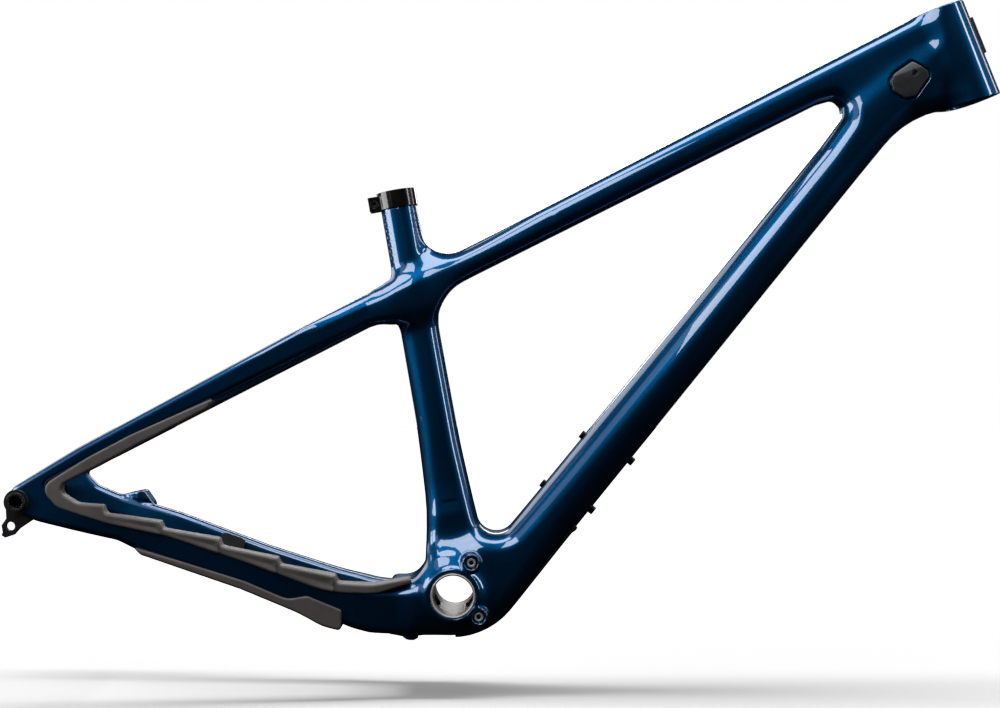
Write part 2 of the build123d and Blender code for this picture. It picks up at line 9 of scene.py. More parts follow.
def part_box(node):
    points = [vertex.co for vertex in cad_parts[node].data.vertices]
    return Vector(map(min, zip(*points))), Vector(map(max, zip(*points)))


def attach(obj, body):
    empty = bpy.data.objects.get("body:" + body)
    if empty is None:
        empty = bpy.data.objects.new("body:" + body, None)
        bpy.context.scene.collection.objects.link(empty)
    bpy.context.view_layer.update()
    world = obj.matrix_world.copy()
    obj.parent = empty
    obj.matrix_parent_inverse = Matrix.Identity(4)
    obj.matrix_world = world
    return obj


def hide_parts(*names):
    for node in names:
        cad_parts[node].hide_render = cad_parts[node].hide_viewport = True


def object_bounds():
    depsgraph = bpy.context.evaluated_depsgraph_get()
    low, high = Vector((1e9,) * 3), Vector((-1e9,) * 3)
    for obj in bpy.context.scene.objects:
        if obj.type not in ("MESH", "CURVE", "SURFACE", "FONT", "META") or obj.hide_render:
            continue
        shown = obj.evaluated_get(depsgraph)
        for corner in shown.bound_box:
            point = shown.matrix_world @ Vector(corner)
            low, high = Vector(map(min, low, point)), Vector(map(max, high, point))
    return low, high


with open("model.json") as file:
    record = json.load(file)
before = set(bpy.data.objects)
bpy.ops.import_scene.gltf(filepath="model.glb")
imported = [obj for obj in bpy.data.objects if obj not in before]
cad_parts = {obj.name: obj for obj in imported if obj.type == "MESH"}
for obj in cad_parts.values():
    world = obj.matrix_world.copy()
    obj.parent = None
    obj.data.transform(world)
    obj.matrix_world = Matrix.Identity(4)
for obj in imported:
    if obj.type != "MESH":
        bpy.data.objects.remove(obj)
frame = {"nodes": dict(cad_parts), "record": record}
cad_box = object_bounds()
record = frame["record"]
mounts = {m["name"]: m for m in record["mounts"]}

# The skin's fields work in millimetres, in the row frame: x forward, y to the left, z up.
MM = 0.001
FIELD_STEP = 2.0
SKIN_CELL = 1.7
SKIN_SIDE_REACH = 92.0
MOST_FACES = 190_000
# Cells along an edge of a block, and how many blocks are sampled at a time
BLOCK = 8
BLOCKS_AT_ONCE = 400


def mount_mm(name):
    """Side-view place (x, z) of a mount, in millimetres."""
    x, _, z = mounts[name]["pos_m"]
    return x / MM, z / MM


def mount_lean(name):
    """How far a mount's axis leans back from upright."""
    x, _, z = mounts[name]["axis"]
    return math.atan2(-x, z)


AXLE_PLACE = mount_mm("rear_hub_seat")
HEAD_LEAN = mount_lean("headset_upper")
HEAD_TOP = mount_mm("headset_upper")
HEAD_FOOT = mount_mm("headset_lower")
SEAT_LEAN = mount_lean("seatpost_bore")
SEAT_POINT = mount_mm("seatpost_bore")
SEATPOST_R = mounts["seatpost_bore"]["dims"]["r_mm"]
UPPER_SEAT_R = mounts["headset_upper"]["dims"]["r_mm"]
LOWER_SEAT_R = mounts["headset_lower"]["dims"]["r_mm"]


# --- Small maths -------------------------------------------------------------


def smooth_min(a, b, k):
    """Union of two fields, blended over k millimetres."""
    h = np.maximum(k - np.abs(a - b), 0.0) / k
    return np.minimum(a, b) - h * h * k * 0.25


def smooth_max(a, b, k):
    return -smooth_min(-a, -b, k)


def ramp(value, low, high):
    """0 at low, 1 at high, smooth between."""
    t = np.clip((value - low) / (high - low), 0.0, 1.0)
    return t * t * (3.0 - 2.0 * t)


# Half the angle at a corner, in radians, above which it counts as straight
NEARLY_STRAIGHT = 1.55


def rounded_path(corners, arc_step=8.0):
    """Closed outline through corners (x, z, radius), each rounded by a tangent arc."""
    out = []
    count = len(corners)
    for i, (x, z, radius) in enumerate(corners):
        here = np.array((x, z))
        back = np.array(corners[i - 1][:2]) - here
        ahead = np.array(corners[(i + 1) % count][:2]) - here
        back_len, ahead_len = np.linalg.norm(back), np.linalg.norm(ahead)
        back, ahead = back / back_len, ahead / ahead_len
        half = 0.5 * math.acos(np.clip(back @ ahead, -1.0, 1.0))
        if radius <= 0 or half > NEARLY_STRAIGHT:
            out.append(here)
            continue
        cut = radius / math.tan(half)
        limit = 0.49 * min(back_len, ahead_len)
        if cut > limit:
            cut, radius = limit, limit * math.tan(half)
        bisector = (back + ahead) / np.linalg.norm(back + ahead)
        centre = here + bisector * radius / math.sin(half)
        start, end = here + back * cut - centre, here + ahead * cut - centre
        turn = math.atan2(start[0] * end[1] - start[1] * end[0], start @ end)
        steps = max(2, int(math.degrees(abs(turn)) / arc_step) + 1)
        for k in range(steps + 1):
            a = turn * k / steps
            rot = np.array(((math.cos(a), -math.sin(a)), (math.sin(a), math.cos(a))))
            out.append(centre + rot @ start)
    return np.array(out)


# --- Fields over the side view ----------------------------------------------


class SideGrid:
    """A regular grid over the side view, whose fields are read back with a cubic B-spline."""

    def __init__(self, low, high, step):
        self.low = np.array(low, float)
        self.step = step
        self.shape = tuple(int(math.ceil((h - l) / step)) + 4 for l, h in zip(low, high))
        self.low -= step
        xs = self.low[0] + step * np.arange(self.shape[0])
        zs = self.low[1] + step * np.arange(self.shape[1])
        self.x, self.z = np.meshgrid(xs, zs, indexing="ij")

    def weights(self, x, z):
        gx = (x - self.low[0]) / self.step
        gz = (z - self.low[1]) / self.step
        ix = np.clip(np.floor(gx).astype(int), 1, self.shape[0] - 3)
        iz = np.clip(np.floor(gz).astype(int), 1, self.shape[1] - 3)
        return ix, iz, self._basis(np.clip(gx - ix, 0, 1)), self._basis(np.clip(gz - iz, 0, 1))

    @staticmethod
    def _basis(t):
        s = 1.0 - t
        return (s**3 / 6, (3 * t**3 - 6 * t**2 + 4) / 6, (3 * s**3 - 6 * s**2 + 4) / 6, t**3 / 6)

    def read(self, fields, x, z):
        """Each field's value at the points."""
        ix, iz, wx, wz = self.weights(x, z)
        out = [np.zeros(ix.shape) for _ in fields]
        for i in range(4):
            for j in range(4):
                w = wx[i] * wz[j]
                place = (ix + i - 1, iz + j - 1)
                for n, field in enumerate(fields):
                    out[n] += w * field[place]
        return out

    def outline(self, *loops):
        """Signed distance to closed outlines, below 0 inside; a loop within a loop is a hole."""
        near = np.full(self.shape, 1e9)
        inside = np.zeros(self.shape, bool)
        for loop in loops:
            for a, b in zip(loop, np.roll(loop, -1, axis=0)):
                d = b - a
                length = d @ d
                if length < 1e-12:
                    continue
                px, pz = self.x - a[0], self.z - a[1]
                t = np.clip((px * d[0] + pz * d[1]) / length, 0.0, 1.0)
                near = np.minimum(near, (px - t * d[0]) ** 2 + (pz - t * d[1]) ** 2)
                crosses = (a[1] > self.z) != (b[1] > self.z)
                if d[1] != 0:
                    inside ^= crosses & (self.x < a[0] + (self.z - a[1]) * d[0] / d[1])
        return np.sqrt(near) * np.where(inside, -1.0, 1.0)

    def blend_members(self, members, spread):
        """A field blended from the values of the nearest lines, each through (x, z, value)."""
        total, weight = np.zeros(self.shape), np.zeros(self.shape)
        found = []
        for line in members:
            for (ax, az, av), (bx, bz, bv) in zip(line, line[1:]):
                dx, dz = bx - ax, bz - az
                t = np.clip(((self.x - ax) * dx + (self.z - az) * dz) / (dx * dx + dz * dz), 0, 1)
                far = np.hypot(self.x - ax - t * dx, self.z - az - t * dz)
                found.append((far, av + t * (bv - av)))
        nearest = np.min([far for far, _ in found], axis=0)
        for far, value in found:
            w = np.exp(-(far - nearest) / spread)
            total += w * value
            weight += w
        return total / weight

    def soften(self, field, passes):
        """Blurs a field a little, so that what is made from it has no creases."""
        for _ in range(passes):
            for axis in (0, 1):
                pad = [(1, 1) if a == axis else (0, 0) for a in (0, 1)]
                p = np.pad(field, pad, mode="edge")
                n = field.shape[axis]
                before = np.take(p, range(0, n), axis)
                after = np.take(p, range(2, n + 2), axis)
                field = 0.25 * before + 0.5 * field + 0.25 * after
        return field


# --- The shell's outlines: corners (x, z, radius) ----------------------------

FRONT_OUTER = [
    (-118, 291, 0),
    (-84, 309.5, 6),
    (-80, 330, 0),
    (-94, 405, 0),
    (-76, 405, 0),
    (-50.3, 327, 31),
    (80.2, 404.4, 0),
    (255, 510.2, 0),
    (428, 614.5, 0),
    (452, 623, 0),
    (492, 533, 0),
    (425.2, 510.7, 165),
    (198, 185.4, 0),
    (117, 70.4, 0),
    (115.5, 70.6, 0),
    (36, -41, 72),
    (-62, -44.5, 60),
    (-100, -38, 0),
    (-100, 4.5, 0),
    (-29, 10.5, 24),
    (-33, 80, 250),
    (-48.5, 165, 400),
    (-70, 253, 0),
    (-74.5, 270.5, 4),
    (-97, 267, 20),
    (-118, 256, 0),
]
MAIN_TRIANGLE = [
    (-44, 296.4, 48),
    (334, 519.7, 14),
    (351, 526, 8),
    (359.6, 518.6, 7),
    (360.3, 507.3, 12),
    (340, 475.5, 60),
    (30.5, 37.6, 20),
    (-6, 152.5, 300),
]
STAYS = [
    (-60, 327, 0),
    (-113, 291.5, 60),
    (-300, 171, 0),
    (-374, 123.4, 150),
    (-434, 80.5, 15),
    (-440, 60, 13),
    (-424, 54.5, 10),
    (-405, 49.5, 40),
    (-330, 36, 25),
    (-309, 26.5, 25),
    (-203.8, -3.2, 0),
    (-135, -25, 150),
    (-98, -37.5, 60),
    (-80, -41.5, 40),
    (-40, -42.5, 0),
    (-30, -20, 0),
    (-30, 1, 0),
    (-80, 1, 60),
    (-121, 7.5, 150),
    (-197, 25, 0),
    (-297, 52.5, 0),
    (-362, 65, 60),
    (-388, 73.5, 8),
    (-403, 86.5, 4),
    (-364.4, 108.9, 0),
    (-187.5, 214.2, 0),
    (-97, 267.2, 60),
    (-60, 272, 0),
]

grid = SideGrid((-460, -70), (540, 655), FIELD_STEP)
front_edge = grid.outline(rounded_path(FRONT_OUTER), rounded_path(MAIN_TRIANGLE))
rear_edge = grid.outline(rounded_path(STAYS))

# Half widths along each member, and the rounding of its edges
MEMBER_SPREAD = 9.0
half_width = grid.blend_members(
    [
        [(-4, 337, 20), (320, 530, 20), (440, 590, 21)],
        [(-4, 337, 20), (-54, 308, 27), (-113, 279, 37)],
        [(96, 85, 29), (213, 251, 28), (362, 463, 26), (425, 540, 27), (462, 600, 28)],
        [(435, 512, 19), (492, 535, 22)],
        [(-8, 80, 23), (-15, 110, 19), (-50, 250, 17.5)],
        [(96, 85, 29), (30, 10, 37), (0, 0, 39), (-52, -18, 44), (-95, -16, 47)],
    ],
    MEMBER_SPREAD,
)
edge_round = grid.blend_members(
    [
        [(-4, 337, 12), (320, 530, 13), (440, 590, 13)],
        [(-4, 337, 12), (-54, 308, 6), (-113, 279, 6)],
        [(96, 85, 24), (213, 251, 26), (362, 463, 23), (425, 540, 16), (478, 570, 14)],
        [(-8, 80, 15), (-15, 110, 15), (-50, 250, 15)],
        [(96, 85, 22), (30, 10, 16), (0, 0, 16), (-52, -18, 12), (-95, -16, 7)],
    ],
    MEMBER_SPREAD,
)

LEAST_HALF_WIDTH = 8.0
# The flat sides bulge a little towards the middle of each member
CROWN = 3.0
CROWN_DEPTH = 9.0

# Above its crease the seat cluster slopes in towards the seat tube
CREASE = ((-140.7, 262.5), (-6.7, 341.1))
CREASE_SLOPE = 0.75
crease_angle = math.atan2(CREASE[1][1] - CREASE[0][1], CREASE[1][0] - CREASE[0][0])
crease_rise = (grid.z - CREASE[0][1]) * math.cos(crease_angle)
above_crease = crease_rise - (grid.x - CREASE[0][0]) * math.sin(crease_angle)
slope_here = CREASE_SLOPE * ramp(grid.x, 75.0, -5.0) * ramp(grid.x, -130.0, -95.0)
in_cluster = (above_crease > -40.0) & (slope_here > 0)
sloped = half_width + 1.0 - slope_here * above_crease
half_width = np.where(in_cluster, smooth_min(half_width, sloped, 4.0), half_width)
half_width = np.maximum(half_width, LEAST_HALF_WIDTH)
half_width = grid.soften(half_width, 1)
crown = grid.soften(1.0 - np.exp(np.minimum(front_edge, 0.0) / CROWN_DEPTH), 12)
half_width = half_width + CROWN * (crown - 1.0)
edge_round = np.minimum(grid.soften(edge_round, 6), half_width)

# The stays: how far out each runs, and its half width, along x
STAY_X = (-445, -400, -374, -300, -200, -151, -113, -95, -60)
SEATSTAY_Y = (79.5, 79.3, 77, 65, 52, 43.5, 27, 20, 12)
CHAINSTAY_X = (-445, -400, -362, -325, -297, -197, -121, -80, -52, -30)
CHAINSTAY_Y = (79.5, 79.3, 77, 69.5, 65, 53, 45.5, 40.5, 33, 28)
STAY_HALF_X = (-445, -408, -374, -300, -150, -113, -95)
STAY_HALF = (5.5, 5.5, 7, 7.6, 8.4, 10, 12)
seatstay_y = np.interp(grid.x, STAY_X, SEATSTAY_Y)
chainstay_y = np.interp(grid.x, CHAINSTAY_X, CHAINSTAY_Y)
between_stays = 86.0 + (grid.x + 402.0) * 0.13
upper_share = ramp(grid.z - between_stays, -30.0, 30.0)
stay_out = grid.soften(chainstay_y + upper_share * (seatstay_y - chainstay_y), 30)
stay_half = grid.soften(np.interp(grid.x, STAY_HALF_X, STAY_HALF), 20)
stay_slope = 0.75 * ramp(grid.x, -175.0, -130.0) * np.maximum(above_crease, 0.0)
stay_slope = np.minimum(stay_slope, 10.0) * ramp(grid.z, 180.0, 215.0)
stay_out = stay_out - 0.5 * stay_slope
stay_half = stay_half - 0.5 * stay_slope
stay_round = np.clip(stay_half - 0.6, 2.0, 6.4)

POST_WEDGE = [
    (-376, 60, 0),
    (-352, 68.5, 8),
    (-337.5, 72.5, 2),
    (-325, 57, 5),
    (-338, 44, 0),
    (-360, 46, 0),
]
PORT_OUTLINE = [
    (402.5, 545, 3),
    (406, 534.5, 4),
    (418.5, 528.5, 5),
    (429, 531, 4),
    (441, 551, 3),
    (440, 557, 3),
    (424, 567.5, 3),
    (406, 553, 3),
]
port_edge = grid.outline(rounded_path(PORT_OUTLINE, 20.0))
post_edge = grid.outline(rounded_path(POST_WEDGE))
FRONT_FIELDS = [front_edge, half_width, edge_round]
STAY_FIELDS = [rear_edge, stay_out, stay_half, stay_round]
FIELDS = [*FRONT_FIELDS, *STAY_FIELDS, port_edge, post_edge]


# --- The shell as one field --------------------------------------------------


def rounded_plate(edge, out, rounding):
    """Extruded outline: edge and out are distances past its side-view edge and its flat face."""
    a, b = edge + rounding, out + rounding
    return np.minimum(np.maximum(a, b), 0) + np.hypot(np.maximum(a, 0), np.maximum(b, 0)) - rounding


def on_axis(point, lean, x, z):
    """Distance up a leaning line, and distance in front of it."""
    dx, dz = x - point[0], z - point[1]
    return -math.sin(lean) * dx + math.cos(lean) * dz, math.cos(lean) * dx + math.sin(lean) * dz


HEAD_HALF = 51.0
HEAD_MIDDLE = tuple((a + b) / 2 for a, b in zip(HEAD_TOP, HEAD_FOOT))
HEAD_R_MIDDLE = 27.6
HEAD_TAPER = (29.2 - 26.0) / 102.0
HEADSET_DEEP = 8.0
STEERER_R = 19.75
STEERER_TAPER = 0.05
SEAT_TOP_UP = 112.5
SHOULDER_UP = 96.5
SEAT_TUBE_DOWN = 200.0
SEAT_R = 18.2
SEAT_NARROWING = 6.0
SEAT_NECK_R = 17.45
BORE_DEPTH = 70.0
POST_FRONT = mount_mm("brake_post_front")
POST_REAR = mount_mm("brake_post_rear")
POST_LEAN = mount_lean("brake_post_front")
POST_Y = mounts["brake_post_front"]["pos_m"][1] / MM
POST_HALF = 9.0
POST_INNER = 13.5
POST_HOLE_R = 2.6
POST_HOLE_DEEP = 15.0
POST_FACET = 0.45
PORT_GAP = 1.4
PORT_DEPTH = 3.0
bolt_low, bolt_high = (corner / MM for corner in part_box("chainguide_bolts"))
GUIDE_BOLT_R = 4.6
GUIDE_BOLTS = [
    (bolt_low[0] + GUIDE_BOLT_R, bolt_high[2] - GUIDE_BOLT_R),
    (bolt_high[0] - GUIDE_BOLT_R, bolt_low[2] + GUIDE_BOLT_R),
]
WINDOW_DROP = math.radians(36.0)
WINDOW_HALF = 6.0
WINDOW_LONG = 21.0
WINDOW_START = 12.0
GUIDE_BOSS_R = 9.2
GUIDE_BOSS_FACE = 45.4
GUIDE_SEAT_R = 6.2
GUIDE_SEAT_FACE = 42.0
BB_RING_R = 26.5
BB_FLARE = 0.7
BB_FLARE_MAX = 7.0
BB_SHELL_HALF = 45.6
BB_SLEEVE_R = 22.5
HANGER_BOSS_R = 9.05
AXLE_BORE_R = 6.05
POCKET_FRONT = -407.0
POCKET_FACE = -78.0
# How far back the front part reaches, below this height and above it
STEP_UP = 150.0
ENDS_BELOW, ENDS_ABOVE = -66.0, -108.0
# The underside behind the lower headset seat
THROAT_FROM = 446.0
THROAT_PLACE = (491.3, 531.3)
THROAT_SLOPE = 0.33


def seat_tube_field(x, y, z):
    up, ahead = on_axis(SEAT_POINT, SEAT_LEAN, x, z)
    tube = np.hypot(ahead, y) - SEAT_R + SEAT_NARROWING * ramp(up, -15.0, -75.0)
    tube = smooth_max(tube, up - SHOULDER_UP, 1.0)
    neck = np.maximum(np.hypot(ahead, y) - SEAT_NECK_R, up - SEAT_TOP_UP)
    tube = np.minimum(tube, neck)
    return np.maximum(tube, -(up + SEAT_TUBE_DOWN))


def window_field(x, y, z, reach):
    """Openings low on either side of the bottom bracket sleeve, out to reach from its axis."""
    along = np.abs(x) * math.cos(WINDOW_DROP) - z * math.sin(WINDOW_DROP)
    across = np.abs(x) * math.sin(WINDOW_DROP) + z * math.cos(WINDOW_DROP)
    box = np.maximum(np.abs(across) - WINDOW_HALF, np.abs(y) - WINDOW_LONG)
    return np.maximum(np.maximum(box, along - reach), WINDOW_START - along)


def shell_field(columns, x, y, z):
    """Signed distance to the painted shell, below 0 inside it."""
    edge, half, rounding, stay_edge, out, stay, stay_r, port, post_edge = columns
    side = np.abs(y)
    front = rounded_plate(edge, side - half, rounding)
    rear_end = np.where(z < STEP_UP, ENDS_BELOW, ENDS_ABOVE)
    front = smooth_max(front, rear_end - x, 8.0)
    rear = rounded_plate(stay_edge, np.abs(side - out) - stay, stay_r)
    body = smooth_min(front, rear, 2.0 + 12.0 * ramp(x - rear_end, 2.0, 30.0))

    body = smooth_min(body, seat_tube_field(x, y, z), 7.0)

    up, ahead = on_axis(HEAD_MIDDLE, HEAD_LEAN, x, z)
    radial = np.hypot(ahead, y)
    head = radial - (HEAD_R_MIDDLE - HEAD_TAPER * up)
    head = np.maximum(head, np.abs(up) - HEAD_HALF - HEADSET_DEEP)
    body = smooth_min(body, head, 12.0)
    past_end = np.minimum(np.abs(up) - HEAD_HALF, ahead + 60.0)
    body = smooth_max(body, past_end, 1.2)

    flare = BB_RING_R + np.minimum(BB_FLARE * (BB_SHELL_HALF - side), BB_FLARE_MAX)
    barrel = smooth_max((np.hypot(x, z) - flare) * 0.75, side - BB_SHELL_HALF, 1.5)
    body = smooth_min(body, barrel, 9.0)

    for bx, bz in GUIDE_BOLTS:
        post = smooth_max(np.hypot(x - bx, z - bz) - GUIDE_BOSS_R, -y - GUIDE_BOSS_FACE, 2.5)
        body = smooth_min(body, smooth_max(post, y + 20.0, 1.0), 4.0)
    throat = THROAT_PLACE[1] + (x - THROAT_PLACE[0]) * THROAT_SLOPE - z
    body = smooth_max(body, np.where(x > THROAT_FROM, throat, -20.0), 2.0)

    behind, below = POST_FRONT[0] - x, POST_FRONT[1] - z
    tilt = np.maximum(0.0, POST_FACET * behind) + np.maximum(0.0, POST_FACET * below)
    inner_face = (POST_Y - POST_INNER - y) + tilt
    wedge = smooth_max(smooth_max(post_edge, inner_face, 1.5), y - POST_Y - POST_HALF, 2.0)
    body = smooth_min(body, wedge, 3.0)

    # Bores and pockets
    for place in (POST_FRONT, POST_REAR):
        rise, across = on_axis(place, POST_LEAN, x, z)
        drill = np.hypot(across, y - POST_Y) - POST_HOLE_R
        drill = np.maximum(drill, np.abs(rise) - POST_HOLE_DEEP)
        body = smooth_max(body, -drill, 0.8)
    for bx, bz in GUIDE_BOLTS:
        seat = np.maximum(np.hypot(x - bx, z - bz) - GUIDE_SEAT_R, y + GUIDE_SEAT_FACE)
        body = smooth_max(body, -seat, 2.0)
    body = smooth_max(body, -np.maximum(port - PORT_GAP, half - PORT_DEPTH - side), 1.6)
    steerer = radial - (STEERER_R - STEERER_TAPER * up)
    body = smooth_max(body, -steerer, 0.8)
    upper_seat = np.maximum(radial - UPPER_SEAT_R, HEAD_HALF - HEADSET_DEEP - up)
    lower_seat = np.maximum(radial - LOWER_SEAT_R, HEAD_HALF - HEADSET_DEEP + up)
    body = smooth_max(body, -np.minimum(upper_seat, lower_seat), 0.8)
    up, ahead = on_axis(SEAT_POINT, SEAT_LEAN, x, z)
    post = np.maximum(np.hypot(ahead, y) - SEATPOST_R, SEAT_TOP_UP - BORE_DEPTH - up)
    body = smooth_max(body, -post, 0.6)
    body = smooth_max(body, -(np.hypot(x, z) - BB_SLEEVE_R), 0.8)
    body = smooth_max(body, -window_field(x, y, z, 31.0), 1.0)
    axle = np.hypot(x - AXLE_PLACE[0], z - AXLE_PLACE[1])
    body = smooth_max(body, -(axle - np.where(y < 0, HANGER_BOSS_R, AXLE_BORE_R)), 0.8)
    pocket = np.maximum(np.maximum(x - POCKET_FRONT, POCKET_FACE - y), y)
    return smooth_max(body, -pocket, 0.6)


def gradient(field, points, reach=0.35):
    out = np.empty_like(points)
    for axis in range(3):
        step = np.zeros(3)
        step[axis] = reach
        out[:, axis] = (field(points + step) - field(points - step)) / (2 * reach)
    return out


# --- Meshes from fields ------------------------------------------------------


def surface_nets(values, low, cell):
    """Vertices and quads of the zero surface of a dense grid of values."""
    inside = values < 0
    n = tuple(s - 1 for s in values.shape)
    corners = [(i, j, k) for i in (0, 1) for j in (0, 1) for k in (0, 1)]

    def corner(a, c):
        return a[c[0] : c[0] + n[0], c[1] : c[1] + n[1], c[2] : c[2] + n[2]]

    count = np.zeros(n, np.int8)
    for c in corners:
        count += corner(inside, c)
    cells = np.nonzero((count > 0) & (count < 8))
    total = np.zeros((len(cells[0]), 3))
    hits = np.zeros(len(cells[0]))
    for c in corners:
        for axis in range(3):
            if c[axis]:
                continue
            d = tuple(v + (a == axis) for a, v in enumerate(c))
            va = values[tuple(cells[a] + c[a] for a in range(3))].astype(float)
            vb = values[tuple(cells[a] + d[a] for a in range(3))].astype(float)
            hit = (va < 0) != (vb < 0)
            t = np.where(hit, va / np.where(hit, va - vb, 1.0), 0.0)
            for a in range(3):
                total[:, a] += hit * (c[a] + (t if a == axis else 0.0))
            hits += hit
    where = np.stack(cells, 1) + total / hits[:, None]
    vertices = np.array(low) + cell * where
    number = np.full(n, -1, np.int32)
    number[cells] = np.arange(len(hits))
    quads = []
    for axis in range(3):
        u, v = (axis + 1) % 3, (axis + 2) % 3
        a = tuple(slice(1, -1) if k != axis else slice(0, -1) for k in range(3))
        b = tuple(slice(1, -1) if k != axis else slice(1, None) for k in range(3))
        start, end = inside[a], inside[b]
        place = np.stack(np.nonzero(start != end), 1)
        flip = start[tuple(place.T)]
        base = place + np.array([0 if k == axis else 1 for k in range(3)])

        def cell_at(du, dv):
            q = base.copy()
            q[:, u] -= du
            q[:, v] -= dv
            return number[tuple(q.T)]

        quad = np.stack([cell_at(1, 1), cell_at(0, 1), cell_at(0, 0), cell_at(1, 0)], 1)
        quads.append(np.where(flip[:, None], quad, quad[:, ::-1]))
    return vertices, np.concatenate(quads)


def make_object(name, vertices, quads, normals=None):
    """Blender object from vertices in millimetres."""
    mesh = bpy.data.meshes.new(name)
    mesh.vertices.add(len(vertices))
    mesh.vertices.foreach_set("co", (vertices * MM).astype(np.float32).ravel())
    mesh.loops.add(quads.size)
    mesh.loops.foreach_set("vertex_index", quads.astype(np.int32).ravel())
    mesh.polygons.add(len(quads))
    starts = np.arange(0, quads.size, quads.shape[1], dtype=np.int32)
    mesh.polygons.foreach_set("loop_start", starts)
    mesh.polygons.foreach_set("use_smooth", np.ones(len(quads), bool))
    mesh.update(calc_edges=True)
    if normals is not None:
        mesh.normals_split_custom_set_from_vertices(normals.astype(np.float32).tolist())
    made = bpy.data.objects.new(name, mesh)
    bpy.context.scene.collection.objects.link(made)
    return made


def sample_sparsely(side_grid, fields, field, low, high, cell):
    """The field on a regular grid, worked out only in the blocks near its surface."""
    low = np.array(low, float)
    blocks = np.ceil((np.array(high) - low) / (cell * BLOCK)).astype(int)
    counts = blocks * BLOCK
    axes = [low[a] + cell * np.arange(counts[a]) for a in range(3)]
    mids = [low[a] + cell * (BLOCK * np.arange(blocks[a]) + 0.5 * (BLOCK - 1)) for a in range(3)]
    gx, gz = np.meshgrid(mids[0], mids[2], indexing="ij")
    columns = [c[:, None, :] for c in side_grid.read(fields, gx, gz)]
    rough = field(columns, mids[0][:, None, None], mids[1][None, :, None], mids[2][None, None, :])
    values = rough.astype(np.float32)
    for a in range(3):
        values = np.repeat(values, BLOCK, axis=a)
    gx, gz = np.meshgrid(axes[0], axes[2], indexing="ij")
    columns = side_grid.read(fields, gx, gz)
    near = np.stack(np.nonzero(np.abs(rough) < 1.15 * BLOCK * cell), 1) * BLOCK
    inner = np.arange(BLOCK)
    for part in np.array_split(near, max(1, len(near) // BLOCKS_AT_ONCE)):
        ix, iy, iz = (part[:, a : a + 1] + inner for a in range(3))
        pick = (ix[:, :, None], iz[:, None, :])
        found = field(
            [c[pick][:, :, None, :] for c in columns],
            axes[0][ix][:, :, None, None],
            axes[1][iy][:, None, :, None],
            axes[2][iz][:, None, None, :],
        )
        values[ix[:, :, None, None], iy[:, None, :, None], iz[:, None, None, :]] = found
    return values


def field_object(name, side_grid, fields, field, low, high, cell, most_faces=None):
    """Object whose surface is where the field is 0."""

    def at(points):
        x, y, z = points.T
        return field(side_grid.read(fields, x, z), x, y, z)

    def settle(vertices, passes):
        for _ in range(passes):
            slope = gradient(at, vertices)
            size = np.maximum(np.sum(slope * slope, 1), 0.05)
            step = (at(vertices) / size)[:, None] * slope
            length = np.linalg.norm(step, axis=1, keepdims=True)
            vertices = vertices - step * np.minimum(1.0, 0.6 * cell / np.maximum(length, 1e-9))
        return vertices

    values = sample_sparsely(side_grid, fields, field, low, high, cell)
    vertices, faces = surface_nets(values, low, cell)
    vertices = settle(vertices, 3)
    if most_faces and 2 * len(faces) > most_faces:
        vertices, faces = thin_out(vertices, faces, most_faces)
        vertices = settle(vertices, 1)
    normals = gradient(at, vertices)
    normals /= np.maximum(np.linalg.norm(normals, axis=1, keepdims=True), 1e-9)
    return make_object(name, vertices, faces, normals)


def thin_out(vertices, faces, most_faces):
    """Fewer triangles, fewest where the surface is flattest."""
    draft = make_object("draft", vertices, faces)
    modifier = draft.modifiers.new("decimate", "DECIMATE")
    modifier.ratio = most_faces / (2 * len(faces))
    modifier.use_collapse_triangulate = True
    thinned = draft.evaluated_get(bpy.context.evaluated_depsgraph_get()).to_mesh()
    coords = np.empty(len(thinned.vertices) * 3, np.float32)
    thinned.vertices.foreach_get("co", coords)
    corners = np.empty(len(thinned.loops), np.int32)
    thinned.loops.foreach_get("vertex_index", corners)
    mesh = draft.data
    bpy.data.objects.remove(draft)
    bpy.data.meshes.remove(mesh)
    return coords.reshape(-1, 3).astype(float) / MM, corners.reshape(-1, 3)


SHELL_NODES = [s["node"] for s in record["subparts"] if s["material_slot"] == "shell"]
low, high = cad_box[0] / MM, cad_box[1] / MM
MARGIN = 3 * SKIN_CELL
shell = field_object(
    "frame_shell",
    grid,
    FIELDS,
    shell_field,
    (low[0] - MARGIN, -SKIN_SIDE_REACH, low[2] - MARGIN),
    (high[0] + MARGIN, SKIN_SIDE_REACH, high[2] + MARGIN),
    SKIN_CELL,
    MOST_FACES,
)
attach(shell, "frame")
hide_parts(*SHELL_NODES)


# --- Rubber guards, moulded to the shell --------------------------------------

# Corners (x, z, radius) of the guards over the drive-side stays
PROTECTOR = [
    (-244.5, 182.5, 2),
    (-323.5, 140, 0),
    (-361, 116.5, 120),
    (-407, 83, 15),
    (-388, 65, 12),
    (-340, 52, 60),
    (-281.4, 42.5, 0),
    (-202.4, 20.5, 0),
    (-121.5, -4, 120),
    (-75, -2, 30),
    (-44, 9, 2),
    (-44, 14.2, 2),
    (-80, 6, 60),
    (-114.5, 6.2, 3),
    (-118, 13.2, 1.2),
    (-171.5, 20.5, 4),
    (-175.3, 27.2, 1.2),
    (-229.5, 35.5, 4),
    (-233.6, 43.1, 1.2),
    (-287, 49.5, 4),
    (-291, 56.6, 1.2),
    (-342.5, 61.5, 4),
    (-346, 69.6, 1.2),
    (-370, 70, 14),
    (-393.5, 83, 9),
    (-353.8, 106.7, 60),
    (-317.4, 130.2, 0),
    (-253, 170, 2),
]
